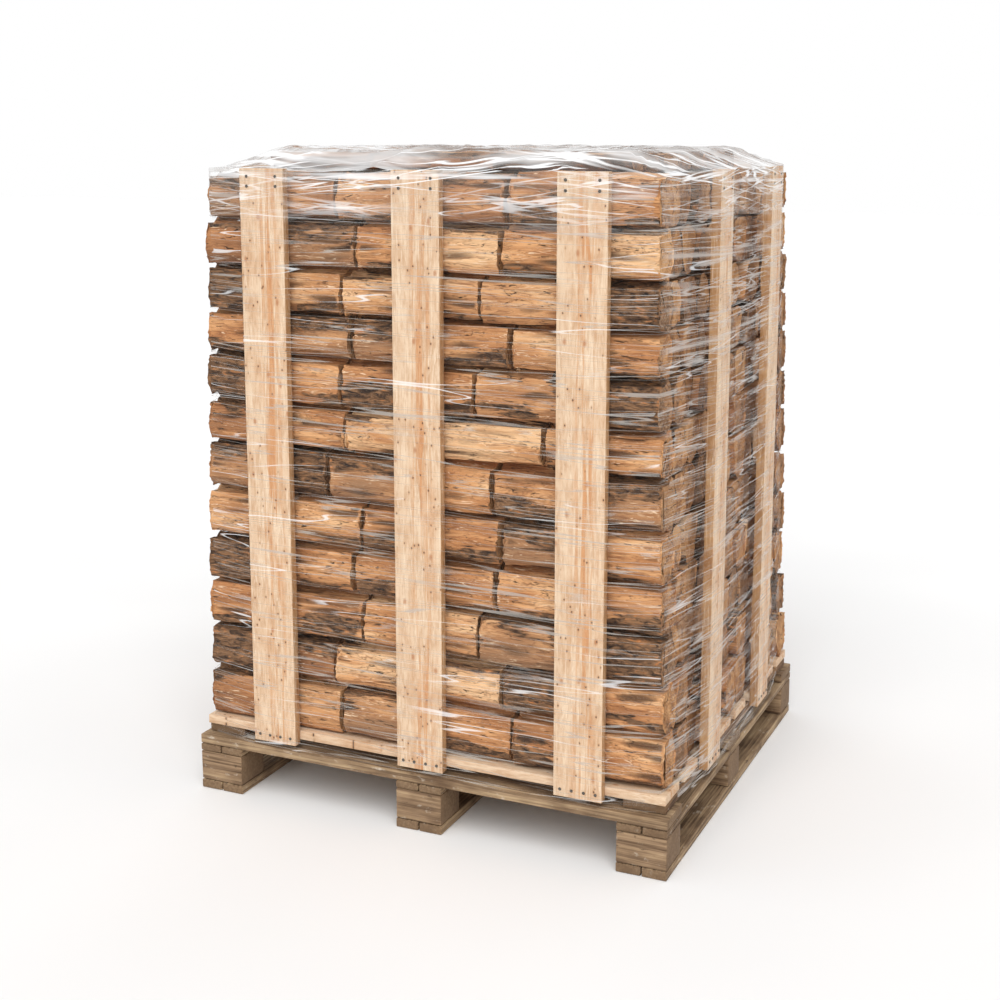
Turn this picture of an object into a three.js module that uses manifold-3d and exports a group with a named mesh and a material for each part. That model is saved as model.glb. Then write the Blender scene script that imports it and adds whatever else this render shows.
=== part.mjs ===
// A pallet of firewood. Split logs lie in twelve layers, three end to end and eleven rows deep, inside a
// crate of upright slats. The crate stands on a nine-block pallet, and clear stretch film is wound round and
// laid over it all.
// Millimetres, +Z up. The origin is the middle of the pallet's footprint on the floor. X runs along the long
// front face, from left to right, and Y runs from the front face (at -Y) to the back.
import * as THREE from 'three';
import { mergeVertices } from 'three/addons/utils/BufferGeometryUtils.js';
import Module from 'manifold-3d';

const wasm = await Module();
wasm.setup();

// Pallet
const PALLET_WIDTH = 1200;
const PALLET_DEPTH = 1100;
const BLOCK_WIDTH = 118;
const BLOCK_DEPTH = 100;
const BLOCK_HEIGHT = 74;
const MIDDLE_BLOCK_Y = -20;
const RUNNER_THICKNESS = 22;
const STRINGER_THICKNESS = 18;
const DECK_THICKNESS = 24;
const DECK_BOARD_WIDTH = 105;
const BOARD_SEAM = 2;
const RUNNER_CORNER_RADIUS = 14;

// Crate
const CRATE_WIDTH = 1176;
const CRATE_DEPTH = 1060;
const BEARER_WIDTH = 100;
const BEARER_THICKNESS = 22;
const BEARER_INSET = 6;
const FLOOR_THICKNESS = 22;
const FLOOR_BOARD_WIDTH = 100;
const FLOOR_BOARD_COUNT = 8;
const SLAT_THICKNESS = 22;
const SLAT_BOTTOM = 152;
const SLAT_TOP = 1513;
const LONG_FACE_SLATS = [
  { name: 'left', x: -382.5, width: 115 },
  { name: 'middle', x: 6, width: 117 },
  { name: 'right', x: 393, width: 114 },
];
const SHORT_FACE_SLATS = [
  { name: 'front', y: -238, width: 100 },
  { name: 'back', y: 199, width: 98 },
];

// Firewood
const LOG_ROWS = 11;
const LAYER_HEIGHTS = [122, 108, 116, 112, 112, 116, 101, 111, 100, 105, 109, 107];
const ROW_SCATTER = 7;
const LOG_END_GAP = 5;
const END_STEPS = 3;
const END_STEP = 5;
const LAYER_SET_IN = 3;
const HIDDEN_JOINT = 196;
const JOINT_STEP = 30;
const TOUCH_BAND_HEIGHT = 0.42;
const TOUCH_BAND_SHIFT = 0.08;
const RIDGE_SHIFT = 0.24;
const FLAT_START = 0.34;
const FLAT_REACH = 0.46;
const TOP_FALL = 0.06;
const FACE_LOBE = 0.22;
const FACE_CRACK_DEPTH = 8;
const FACE_CRACK_LEAST = 0.4;
const FACE_CRACK_SHIFT = 0.08;
// Where the ends of neighbouring logs meet along the front face, from the lowest layer up
const FRONT_JOINTS = [
  [-213, 222],
  [-231, 198],
  [-155, 138],
  [-177, 183],
  [-153, 197],
  [-242, 177],
  [-195, 298],
  [-203, 132],
  [-174, 219],
  [-197, 146],
  [-159, 197],
  [-210, 211],
];

// Loose logs lying on top of the full layers
const HEAP_WIDTH = 940;
const HEAP_DEPTH = 800;
const HEAP_ROWS = 7;
const HEAP_HEIGHT = 50;
const HEAP_JOINT = 157;
const HEAP_SCATTER = 40;

// Film
const FILM_THICKNESS = 1.2;
const FILM_CLEARANCE = 0.6;
const FILM_BOTTOM = 140;
const FILM_CORNER_X = 596;
const FILM_CORNER_Y = 536;
const COVER_CREST = 1566;
const COVER_RIDGE = 6;
// The cover's rings: how far out each lies, as a share of the film's line, and its share of the cover's rise
const COVER_RINGS = [
  { share: 1, lift: 0 },
  { share: 0.93, lift: 0.18 },
  { share: 0.8, lift: 1 },
];
const COVER_INNER_SHARE = 0.45;

// Touching pieces keep this much air between them
const TOUCH_GAP = 0.3;

// Heights at which each level of the pile starts
const BLOCK_Z = RUNNER_THICKNESS + TOUCH_GAP;
const STRINGER_Z = BLOCK_Z + BLOCK_HEIGHT + TOUCH_GAP;
const DECK_Z = STRINGER_Z + STRINGER_THICKNESS + TOUCH_GAP;
const BEARER_Z = DECK_Z + DECK_THICKNESS + TOUCH_GAP;
const FLOOR_Z = BEARER_Z + BEARER_THICKNESS + TOUCH_GAP;
const FIRST_LAYER_Z = FLOOR_Z + FLOOR_THICKNESS + TOUCH_GAP;

const BLOCK_XS = [-(PALLET_WIDTH - BLOCK_WIDTH) / 2, 0, (PALLET_WIDTH - BLOCK_WIDTH) / 2];
const BLOCK_YS = [-(PALLET_DEPTH - BLOCK_DEPTH) / 2, MIDDLE_BLOCK_Y, (PALLET_DEPTH - BLOCK_DEPTH) / 2];
const COLUMN_NAMES = ['left', 'centre', 'right'];
const ROW_NAMES = ['front', 'middle', 'back'];

const finishes = {
  oldPallet: new THREE.MeshStandardMaterial({ color: '#a98f6c', roughness: 0.9 }),
  bearer: new THREE.MeshStandardMaterial({ color: '#8d7253', roughness: 0.9 }),
  freshPine: new THREE.MeshStandardMaterial({ color: '#e3bd8a', roughness: 0.75 }),
  splitLog: new THREE.MeshStandardMaterial({ color: '#c08a55', roughness: 0.85 }),
  barkLog: new THREE.MeshStandardMaterial({ color: '#a5784e', roughness: 0.9 }),
  film: new THREE.MeshStandardMaterial({
    color: '#e9ecee',
    roughness: 0.25,
    transparent: true,
    opacity: 0.3,
  }),
};

const pallet = new THREE.Group();

// A small seeded generator, so that every run stacks the same logs
function seededRandom(seed) {
  let state = seed;
  return () => {
    state = (state + 0x6d2b79f5) | 0;
    let mixed = Math.imul(state ^ (state >>> 15), 1 | state);
    mixed = (mixed + Math.imul(mixed ^ (mixed >>> 7), 61 | mixed)) ^ mixed;
    return ((mixed ^ (mixed >>> 14)) >>> 0) / 4294967296;
  };
}

function between(random, low, high) {
  return low + (high - low) * random();
}

function addPiece(name, geometry, material) {
  const piece = new THREE.Mesh(geometry, material);
  piece.name = name;
  pallet.add(piece);
}

// A sawn board, centred on x and y and standing on z
function sawnBoard(sizeX, sizeY, sizeZ, x, y, z) {
  const board = new THREE.BoxGeometry(sizeX, sizeY, sizeZ);
  board.translate(x, y, z + sizeZ / 2);
  return board;
}

// A bottom board along Y whose outer corners are rounded, as seen from above
function runnerBoard(x, width, outerSide) {
  const [a, b, r] = [width / 2, PALLET_DEPTH / 2, RUNNER_CORNER_RADIUS];
  const outline = new THREE.Shape();
  outline.moveTo(-a, -b);
  outline.lineTo(a - r, -b);
  outline.quadraticCurveTo(a, -b, a, -b + r);
  outline.lineTo(a, b - r);
  outline.quadraticCurveTo(a, b, a - r, b);
  outline.lineTo(-a, b);
  const board = new THREE.ExtrudeGeometry(outline, {
    depth: RUNNER_THICKNESS,
    bevelEnabled: false,
    curveSegments: 3,
  });
  if (outerSide < 0) {
    board.rotateZ(Math.PI);
  }
  board.translate(x, 0, 0);
  return board;
}

// Pallet: three pairs of bottom boards, nine blocks, three pairs of stringer boards and three deck boards
function addPallet() {
  const pairBoardWidth = (BLOCK_WIDTH - BOARD_SEAM) / 2;
  const pairOffset = (pairBoardWidth + BOARD_SEAM) / 2;
  BLOCK_XS.forEach((x, column) => {
    for (const [side, sideName] of [[-1, 'a'], [1, 'b']]) {
      const boardX = x + side * pairOffset;
      const pairName = `${COLUMN_NAMES[column]}_${sideName}`;
      const bottom = runnerBoard(boardX, pairBoardWidth, side);
      addPiece(`bottom_board_${pairName}`, bottom, finishes.oldPallet);
      const stringer = sawnBoard(pairBoardWidth, PALLET_DEPTH, STRINGER_THICKNESS, boardX, 0, STRINGER_Z);
      addPiece(`stringer_board_${pairName}`, stringer, finishes.oldPallet);
    }
    BLOCK_YS.forEach((y, row) => {
      const block = sawnBoard(BLOCK_WIDTH, BLOCK_DEPTH, BLOCK_HEIGHT, x, y, BLOCK_Z);
      addPiece(`block_${ROW_NAMES[row]}_${COLUMN_NAMES[column]}`, block, finishes.oldPallet);
    });
  });
  const deckEdge = (PALLET_DEPTH - DECK_BOARD_WIDTH) / 2;
  [-deckEdge, MIDDLE_BLOCK_Y, deckEdge].forEach((y, row) => {
    const board = sawnBoard(PALLET_WIDTH, DECK_BOARD_WIDTH, DECK_THICKNESS, 0, y, DECK_Z);
    addPiece(`deck_board_${ROW_NAMES[row]}`, board, finishes.oldPallet);
  });
}

// Crate floor: three old bearers across the deck boards, and fresh floor boards along X on top
function addCrateFloor() {
  const bearerEdge = (CRATE_WIDTH - BEARER_WIDTH) / 2;
  [-bearerEdge, 0, bearerEdge].forEach((x, column) => {
    const depth = CRATE_DEPTH - 2 * BEARER_INSET;
    const bearer = sawnBoard(BEARER_WIDTH, depth, BEARER_THICKNESS, x, 0, BEARER_Z);
    addPiece(`crate_bearer_${COLUMN_NAMES[column]}`, bearer, finishes.bearer);
  });
  const pitch = (CRATE_DEPTH - FLOOR_BOARD_WIDTH) / (FLOOR_BOARD_COUNT - 1);
  for (let index = 0; index < FLOOR_BOARD_COUNT; index += 1) {
    const y = -(CRATE_DEPTH - FLOOR_BOARD_WIDTH) / 2 + index * pitch;
    const board = sawnBoard(CRATE_WIDTH, FLOOR_BOARD_WIDTH, FLOOR_THICKNESS, 0, y, FLOOR_Z);
    addPiece(`crate_floor_board_${index + 1}`, board, finishes.freshPine);
  }
}

// Upright slats: three on each long face and two on each short face
function addSlats() {
  const height = SLAT_TOP - SLAT_BOTTOM;
  const slatY = CRATE_DEPTH / 2 + TOUCH_GAP + SLAT_THICKNESS / 2;
  const slatX = CRATE_WIDTH / 2 + TOUCH_GAP + SLAT_THICKNESS / 2;
  for (const [side, faceName] of [[-1, 'front'], [1, 'back']]) {
    for (const slat of LONG_FACE_SLATS) {
      const board = sawnBoard(slat.width, SLAT_THICKNESS, height, slat.x, side * slatY, SLAT_BOTTOM);
      addPiece(`slat_${faceName}_${slat.name}`, board, finishes.freshPine);
    }
  }
  for (const [side, faceName] of [[-1, 'left_face'], [1, 'right_face']]) {
    for (const slat of SHORT_FACE_SLATS) {
      const board = sawnBoard(SLAT_THICKNESS, slat.width, height, side * slatX, slat.y, SLAT_BOTTOM);
      addPiece(`slat_${faceName}_${slat.name}`, board, finishes.freshPine);
    }
  }
}

// Where two neighbouring logs touch: a narrow band of their sides, near mid height, in fractions of the
// layer's height
function touchBand(random) {
  const middle = between(random, -TOUCH_BAND_SHIFT, TOUCH_BAND_SHIFT);
  return { low: middle - TOUCH_BAND_HEIGHT / 2, high: middle + TOUCH_BAND_HEIGHT / 2 };
}

// The two-lobed outer side of a log in the crate's long faces, from its top to its bottom
function faceSide(random) {
  const crack = between(random, -FACE_CRACK_SHIFT, FACE_CRACK_SHIFT);
  return [
    { inset: 0, up: crack + FACE_LOBE },
    { inset: between(random, FACE_CRACK_LEAST, 1) * FACE_CRACK_DEPTH, up: crack },
    { inset: 0, up: crack - FACE_LOBE },
  ];
}

// The top or bottom of a split log: a ridge of one point, or a flat of two, in fractions of the log's width
function ridge(random) {
  return [between(random, -RIDGE_SHIFT, RIDGE_SHIFT)];
}

function flat(random) {
  return [between(random, -FLAT_REACH, -FLAT_START), between(random, FLAT_START, FLAT_REACH)];
}

// One log along X, whose near and far sides are lists of { y, up } from top to bottom. Its top falls a little
// along its length, and its sides stay where they touch the logs beside it.
function splitLog(log) {
  const { random, nearSide, farSide, xStart, xEnd, bottomZ, height, shape, fall } = log;
  const [nearY, farY] = [nearSide[0].y, farSide[0].y];
  const across = (share) => (nearY + farY) / 2 + share * (farY - nearY);
  const bottoms = shape === 'crowned' ? flat(random) : ridge(random);
  const tops = shape === 'flat topped' ? flat(random) : ridge(random);
  const points = [
    ...nearSide.map(({ y, up }) => new THREE.Vector2(y, up)),
    ...bottoms.map((share) => new THREE.Vector2(across(share), -0.5)),
    ...farSide.map(({ y, up }) => new THREE.Vector2(y, up)).reverse(),
    ...tops.reverse().map((share) => new THREE.Vector2(across(share), 0.5)),
  ];
  const length = xEnd - xStart;
  const solid = new THREE.ExtrudeGeometry(new THREE.Shape(points), { depth: length, bevelEnabled: false });
  const places = solid.attributes.position;
  for (let index = 0; index < places.count; index += 1) {
    const [y, up, along] = [places.getX(index), places.getY(index), places.getZ(index)];
    const lowered = up === 0.5 ? up - (fall * along) / length : up;
    places.setXYZ(index, xStart + along, y, bottomZ + (lowered + 0.5) * height);
  }
  return solid;
}

function toSolid(geometry) {
  const bare = geometry.clone();
  bare.deleteAttribute('normal');
  bare.deleteAttribute('uv');
  const merged = mergeVertices(bare, 1e-4);
  return new wasm.Manifold(new wasm.Mesh({
    numProp: 3,
    vertProperties: new Float32Array(merged.attributes.position.array),
    triVerts: new Uint32Array(merged.index.array),
  }));
}

// Logs that lie against each other, joined where they touch
function joinTouching(geometries) {
  const joined = geometries.map(toSolid).reduce((sum, solid) => sum.add(solid));
  const mesh = joined.getMesh();
  const geometry = new THREE.BufferGeometry();
  geometry.setAttribute('position', new THREE.BufferAttribute(new Float32Array(mesh.vertProperties), 3));
  geometry.setIndex(new THREE.BufferAttribute(new Uint32Array(mesh.triVerts), 1));
  return geometry;
}

// Rows of three logs end to end, side by side along Y, as one body that is joined where the logs touch.
// jointsOf(row) gives the two places along X where that row's logs meet, and endsOf(row) its two outer ends.
function logBed({ random, rows, depth, bottomZ, height, jointsOf, endsOf }) {
  const pitch = depth / rows;
  const sides = [];
  for (let line = 0; line <= rows; line += 1) {
    const onFace = line === 0 || line === rows;
    const y = -depth / 2 + line * pitch + (onFace ? 0 : between(random, -ROW_SCATTER, ROW_SCATTER));
    sides.push({ y, band: touchBand(random) });
  }
  const bandSide = ({ y, band }) => [{ y, up: band.high }, { y, up: band.low }];
  const openSide = (y, inward) => faceSide(random).map(({ inset, up }) => ({ y: y + inward * inset, up }));
  const logs = [];
  for (let row = 0; row < rows; row += 1) {
    const places = [endsOf(row)[0], ...jointsOf(row), endsOf(row)[1]];
    for (let column = 0; column < 3; column += 1) {
      const frontFace = row === 0 && openSide(-depth / 2, 1);
      const backFace = row === rows - 1 && openSide(depth / 2, -1);
      const hidden = column === 1 && !frontFace && !backFace;
      logs.push(splitLog({
        random,
        nearSide: frontFace || bandSide(sides[row]),
        farSide: backFace || bandSide(sides[row + 1]),
        xStart: places[column] + (column > 0 ? LOG_END_GAP / 2 : 0),
        xEnd: places[column + 1] - (column < 2 ? LOG_END_GAP / 2 : 0),
        bottomZ,
        height,
        shape: hidden ? 'lens' : (row + column) % 2 ? 'crowned' : 'flat topped',
        fall: between(random, 0, TOP_FALL),
      }));
    }
  }
  return joinTouching(logs);
}

// One full layer. Each layer reaches a little less far out than the one below. The hidden rows meet a little
// to one side of where the front row does, so that the layer holds together, and so does the back row.
function logLayer(layerIndex, bottomZ, height) {
  const random = seededRandom(1100 + layerIndex);
  const front = FRONT_JOINTS[layerIndex];
  const hidden = front.map((joint) => {
    const towardsMiddle = Math.abs(joint) > HIDDEN_JOINT ? -1 : 1;
    return joint + Math.sign(joint) * towardsMiddle * JOINT_STEP;
  });
  const back = hidden.map((joint) => joint + (random() < 0.5 ? -1 : 1) * JOINT_STEP);
  const reach = CRATE_WIDTH / 2 - layerIndex * LAYER_SET_IN;
  const ends = Array.from({ length: Math.ceil(LOG_ROWS / 2) }, () => [
    -reach + Math.floor(random() * END_STEPS) * END_STEP,
    reach - Math.floor(random() * END_STEPS) * END_STEP,
  ]);
  return logBed({
    random,
    rows: LOG_ROWS,
    depth: CRATE_DEPTH,
    bottomZ,
    height,
    jointsOf: (row) => (row === 0 ? front : row === LOG_ROWS - 1 ? back : hidden),
    endsOf: (row) => ends[Math.floor(row / 2)],
  });
}

function addFirewood() {
  let bottomZ = FIRST_LAYER_Z;
  LAYER_HEIGHTS.forEach((height, layerIndex) => {
    const label = String(layerIndex + 1).padStart(2, '0');
    const material = layerIndex % 2 ? finishes.barkLog : finishes.splitLog;
    addPiece(`log_layer_${label}`, logLayer(layerIndex, bottomZ, height - TOUCH_GAP), material);
    bottomZ += height;
  });
  return bottomZ;
}

// The loose logs on top, set in from the crate's edges
function addHeap(bottomZ) {
  const random = seededRandom(77);
  const ends = Array.from({ length: HEAP_ROWS }, () => [
    -HEAP_WIDTH / 2 + between(random, 0, HEAP_SCATTER),
    HEAP_WIDTH / 2 - between(random, 0, HEAP_SCATTER),
  ]);
  const heap = logBed({
    random,
    rows: HEAP_ROWS,
    depth: HEAP_DEPTH,
    bottomZ,
    height: HEAP_HEIGHT,
    jointsOf: (row) => {
      const shift = row % 2 ? JOINT_STEP : -JOINT_STEP;
      return [shift - HEAP_JOINT, shift + HEAP_JOINT];
    },
    endsOf: (row) => ends[row],
  });
  addPiece('loose_top_logs', heap, finishes.splitLog);
}

// The line that the taut film follows, seen from above: round the slats and the logs at the crate's corners
function filmLine(clearance) {
  const slatFaceX = CRATE_WIDTH / 2 + TOUCH_GAP + SLAT_THICKNESS;
  const slatFaceY = CRATE_DEPTH / 2 + TOUCH_GAP + SLAT_THICKNESS;
  const [leftSlat, , rightSlat] = LONG_FACE_SLATS;
  const [frontSlat, backSlat] = SHORT_FACE_SLATS;
  const left = leftSlat.x - leftSlat.width / 2;
  const right = rightSlat.x + rightSlat.width / 2;
  const front = frontSlat.y - frontSlat.width / 2;
  const back = backSlat.y + backSlat.width / 2;
  const [reachX, reachY] = [slatFaceX + clearance, slatFaceY + clearance];
  const [cornerX, cornerY] = [FILM_CORNER_X + clearance, FILM_CORNER_Y + clearance];
  return [
    [left, -reachY],
    [right, -reachY],
    [cornerX, -cornerY],
    [reachX, front],
    [reachX, back],
    [cornerX, cornerY],
    [right, reachY],
    [left, reachY],
    [-cornerX, cornerY],
    [-reachX, back],
    [-reachX, front],
    [-cornerX, -cornerY],
  ].map(([x, y]) => new THREE.Vector2(x, y));
}

// The film wound round the sides: a thin upright band, open at the top and the bottom
function addFilmWrap() {
  const band = new THREE.Shape(filmLine(FILM_CLEARANCE + FILM_THICKNESS));
  band.holes.push(new THREE.Path(filmLine(FILM_CLEARANCE)));
  const wrap = new THREE.ExtrudeGeometry(band, { depth: SLAT_TOP - FILM_BOTTOM, bevelEnabled: false });
  wrap.translate(0, 0, FILM_BOTTOM);
  addPiece('film_wrap', wrap, finishes.film);
}

// The film sheet over the top: rings of points from the rim up to the crest, as one thin closed skin
function addFilmCover(heapTop) {
  const rimZ = SLAT_TOP + TOUCH_GAP;
  const rim = filmLine(FILM_CLEARANCE + FILM_THICKNESS);
  const crestBase = Math.max(heapTop + TOUCH_GAP, COVER_CREST - COVER_RIDGE - FILM_THICKNESS);
  const rings = COVER_RINGS.map(({ share, lift }) => ({ share, z: rimZ + lift * (crestBase - rimZ) }));
  rings.push({ share: COVER_INNER_SHARE, z: crestBase + COVER_RIDGE / 2 });
  const skin = [];
  const places = [];
  for (const lift of [0, FILM_THICKNESS]) {
    for (const ring of rings) {
      for (const point of rim) {
        places.push(point.x * ring.share, point.y * ring.share, ring.z + lift);
      }
    }
    places.push(0, 0, crestBase + COVER_RIDGE + lift);
  }
  const round = rim.length;
  const sheetSize = round * rings.length + 1;
  const upperSheet = (corners) => corners.map((corner) => corner + sheetSize);
  for (let step = 0; step < round; step += 1) {
    const next = (step + 1) % round;
    for (let ring = 0; ring + 1 < rings.length; ring += 1) {
      const [a, b] = [ring * round + step, ring * round + next];
      const [c, d] = [a + round, b + round];
      skin.push([a, c, b], [b, c, d]);
      skin.push(upperSheet([a, b, c]), upperSheet([b, d, c]));
    }
    const innermost = (rings.length - 1) * round;
    const [inner, innerNext] = [innermost + step, innermost + next];
    skin.push([inner, sheetSize - 1, innerNext]);
    skin.push(upperSheet([inner, innerNext, sheetSize - 1]));
    skin.push([step, next, next + sheetSize], [step, next + sheetSize, step + sheetSize]);
  }
  const cover = new THREE.BufferGeometry();
  cover.setAttribute('position', new THREE.Float32BufferAttribute(places, 3));
  cover.setIndex(skin.flat());
  addPiece('film_cover', cover, finishes.film);
}

addPallet();
addCrateFloor();
addSlats();
const firewoodTop = addFirewood();
addHeap(firewoodTop);
addFilmWrap();
addFilmCover(firewoodTop + HEAP_HEIGHT);

export default pallet;
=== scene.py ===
import math
import random
from functools import partial

import bpy
import numpy
from mathutils import Matrix, Vector


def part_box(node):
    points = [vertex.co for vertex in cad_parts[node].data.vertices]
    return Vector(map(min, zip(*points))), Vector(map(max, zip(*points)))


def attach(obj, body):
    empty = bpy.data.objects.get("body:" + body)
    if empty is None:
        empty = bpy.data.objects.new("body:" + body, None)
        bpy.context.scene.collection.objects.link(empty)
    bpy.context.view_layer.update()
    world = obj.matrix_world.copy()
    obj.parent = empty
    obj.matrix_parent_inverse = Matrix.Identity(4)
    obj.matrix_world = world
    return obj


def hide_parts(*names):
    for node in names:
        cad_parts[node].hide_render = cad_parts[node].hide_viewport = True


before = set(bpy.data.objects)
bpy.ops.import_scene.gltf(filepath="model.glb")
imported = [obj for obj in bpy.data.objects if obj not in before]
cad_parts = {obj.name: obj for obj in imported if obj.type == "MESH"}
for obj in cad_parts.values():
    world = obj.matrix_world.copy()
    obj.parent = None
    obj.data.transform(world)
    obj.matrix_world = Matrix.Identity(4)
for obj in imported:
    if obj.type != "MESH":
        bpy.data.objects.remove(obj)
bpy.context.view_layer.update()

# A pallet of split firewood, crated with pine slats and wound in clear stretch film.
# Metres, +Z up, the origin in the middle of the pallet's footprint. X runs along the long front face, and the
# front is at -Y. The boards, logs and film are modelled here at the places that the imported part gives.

bpy.ops.object.select_all(action="DESELECT")

# Camera: it stands to the right of the pallet at eye height and looks a little down
CAMERA_PLACE = (1.5329, -3.4947, 1.5774)
CAMERA_YAW = math.radians(24.242)
CAMERA_PITCH = math.radians(9.688)
CAMERA_LENS_MM = 55.0
CAMERA_SENSOR_MM = 36.0
CAMERA_SHIFT_Y = -0.10

# Boards are cut across about this far apart, so that their faces can be uneven
BOARD_CUT_SPACING = 0.035
# The orange heart of a fresh board runs this far to one side of its middle
HEART_OFFSET = 0.012
# Wear in millimetres: how uneven the faces are, and how wide the eased edges are
BLOCK_WEAR = (2.0, 4.0)
OLD_BOARD_WEAR = (1.5, 3.0)
FRESH_BOARD_WEAR = (0.8, 1.5)

# Nail heads in the slats: across in shares of the slat's width, and up from its foot or down from its top
NAIL_RADIUS = 0.0036
NAIL_HEAD_THICKNESS = 0.0012
NAIL_HEAD_PROUD = 0.0004
FOOT_NAILS_ACROSS = (-0.36, -0.12, 0.13, 0.37)
FOOT_NAILS_UP = 0.017
TOP_NAILS_ACROSS = (-0.33, 0.33)
TOP_NAILS_DOWN = (0.018, 0.04)

# Load
LAYER_COUNT = 12
ROW_COUNT = 11
HEAP_ROWS = 8
FIRST_LAYER_SEED = 400
HEAP_SEED = 91
ROW_SCATTER = 0.006
FACE_END_SCATTER = 0.005
# The rows behind the face rows end at least this much further in
INNER_SET_BACK = 0.006
END_SCATTER = 0.026
LOG_DROP = 0.005
# The torn skin is cut into the logs, so they are made this much taller each way
LOG_SETTLE = 0.001
# The loose logs are made this much lower each way, so that they stay under the cover
HEAP_SETTLE = -0.003
LOG_TILT = math.radians(0.9)
LOG_YAW = math.radians(0.8)
# Face logs are sawn a little askew: the right end of each kind is this much shorter at its near side
LOG_END_SLANTS = [0.006, 0.002, 0.005, 0.008, 0.003]
FACE_JOINT_GAP = 0.003
HIDDEN_JOINT_GAP = 0.006
HIDDEN_JOINT = 0.196
JOINT_SCATTER = 0.02
BACK_JOINT_LEAST = 0.15
BACK_JOINT_MOST = 0.24
HEAP_JOINT = 0.157
HEAP_JOINT_SHIFT = 0.03
FACE_SET_BACK_LEAST = 0.002
FACE_SET_BACK_MOST = 0.008
HIDDEN_BARK_SHARE = 0.25
# Where log ends meet along the front face, from the lowest layer up
FRONT_JOINTS = [
    (-0.213, 0.222), (-0.231, 0.198), (-0.155, 0.138), (-0.177, 0.183), (-0.153, 0.197), (-0.242, 0.177),
    (-0.195, 0.298), (-0.203, 0.132), (-0.174, 0.219), (-0.197, 0.146), (-0.159, 0.197), (-0.210, 0.211),
]
# The looks of the front logs, left half and right half of each, from the lowest layer up
FRONT_LOOKS = [
    (("brown", "tan"), ("grey", "orange"), ("rough", "orange")),
    (("bark", "brown"), ("light", "light"), ("bark", "orange")),
    (("orange", "rough"), ("orange", "tan"), ("grey", "bark")),
    (("bark", "orange"), ("rough", "orange"), ("orange", "rough")),
    (("tan", "orange"), ("rough", "orange"), ("grey", "orange")),
    (("grey", "bark"), ("grey", "orange"), ("rough", "grey")),
    (("brown", "orange"), ("light", "light"), ("orange", "orange")),
    (("bark", "orange"), ("rough", "orange"), ("tan", "bark")),
    (("orange", "grey"), ("grey", "rough"), ("tan", "orange")),
    (("bark", "tan"), ("light", "tan"), ("tan", "bark")),
    (("brown", "grey"), ("orange", "light"), ("orange", "light")),
    (("grey", "brown"), ("tan", "brown"), ("rough", "orange")),
]
# What each look gives a log: how dark its wood is, how greyed, and the share of its height that bark covers,
# counted down from its top, or up from its bottom where the share is below 0
LOOKS = {
    "light": (0.05, 0.05, 0.01),
    "tan": (0.25, 0.15, -0.05),
    "orange": (0.40, 0.0, -0.15),
    "brown": (0.65, 0.2, 0.15),
    "grey": (0.50, 0.8, 0.35),
    "rough": (0.55, 0.1, -0.50),
    "bark": (0.80, 0.5, 1.25),
}

# Film: how far out it lies on the slats, where it starts and ends, and how large its faces are
FILM_OUT_X = 0.6114
FILM_OUT_Y = 0.5532
FILM_LOW = 0.141
FILM_HIGH = 1.5128
FILM_ROW = 0.006
FILM_COLUMN = 0.03
# At the load's corners the film is pulled in against the rounded log ends
FILM_CORNER_IN = 0.009
# Between these heights it grows hazy
FILM_HAZE_LOW = 1.37
FILM_HAZE_HIGH = 1.50
# The sheet over the top: how many rings it is drawn with, from its rim in
COVER_RINGS = 36
# How far in from its rim the cover stops rising, as a share of the way to its middle, and how much of the
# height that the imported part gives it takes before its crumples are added
COVER_SLOPE_SHARE = 0.2
COVER_RISE_SHARE = 0.895
# Above 1, this makes the rise a little gentler at the rim
COVER_RISE_POWER = 1.15
# Its rim lies just inside the line of the film round the sides
COVER_RIM_SHARE = 0.998
# The film's map starts at the front face's left slat: how far it is to the near right corner, and from that
# corner to the far one
FRONT_FACE_RUN = 1.015
RIGHT_FACE_RUN = 1.07
# Bands of roped film across the right face: the height at the near corner, and how much each climbs
RIGHT_FACE_BANDS = [(1.144, 0.031), (1.340, -0.027), (1.297, 0.115)]
BAND_HALF_WIDTH = 0.009


def make_camera():
    data = bpy.data.cameras.new("camera")
    data.lens = CAMERA_LENS_MM
    data.sensor_width = CAMERA_SENSOR_MM
    data.shift_y = CAMERA_SHIFT_Y
    camera = bpy.data.objects.new("camera", data)
    camera.location = CAMERA_PLACE
    camera.rotation_euler = (math.radians(90) - CAMERA_PITCH, 0, CAMERA_YAW)
    bpy.context.scene.collection.objects.link(camera)
    bpy.context.scene.camera = camera


make_camera()


# Shader nodes

def linear(hex_colour):
    """An sRGB hex colour as the linear red, green, blue and alpha that a node holds."""
    parts = [int(hex_colour[start:start + 2], 16) / 255 for start in (1, 3, 5)]
    return [part / 12.92 if part <= 0.04045 else ((part + 0.055) / 1.055) ** 2.4 for part in parts] + [1.0]


def add_node(tree, kind, inputs=(), operation=None, stops=None, output=0, **settings):
    """Adds a node with its settings, its inputs by name or in order, and its ramp's stops; gives one output.

    An input is another node's output, a value, or a hex colour. A stop is a place and a hex colour.
    """
    node = tree.nodes.new("ShaderNode" + kind)
    if operation:
        node.operation = operation
    for name, value in settings.items():
        setattr(node, name, value)
    for name, value in inputs.items() if isinstance(inputs, dict) else enumerate(inputs):
        if isinstance(value, bpy.types.NodeSocket):
            tree.links.new(value, node.inputs[name])
        else:
            node.inputs[name].default_value = linear(value) if isinstance(value, str) else value
    if stops:
        while len(node.color_ramp.elements) < len(stops):
            node.color_ramp.elements.new(1.0)
        for element, (place, hex_colour) in zip(node.color_ramp.elements, stops):
            element.position = place
            element.color = linear(hex_colour)
    return node.outputs[output] if node.outputs else None


def new_material(name):
    """An empty material, and the call that adds nodes to it."""
    material = bpy.data.materials.new(name)
    material.use_nodes = True
    material.node_tree.nodes.clear()
    return material, partial(add_node, material.node_tree)


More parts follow.
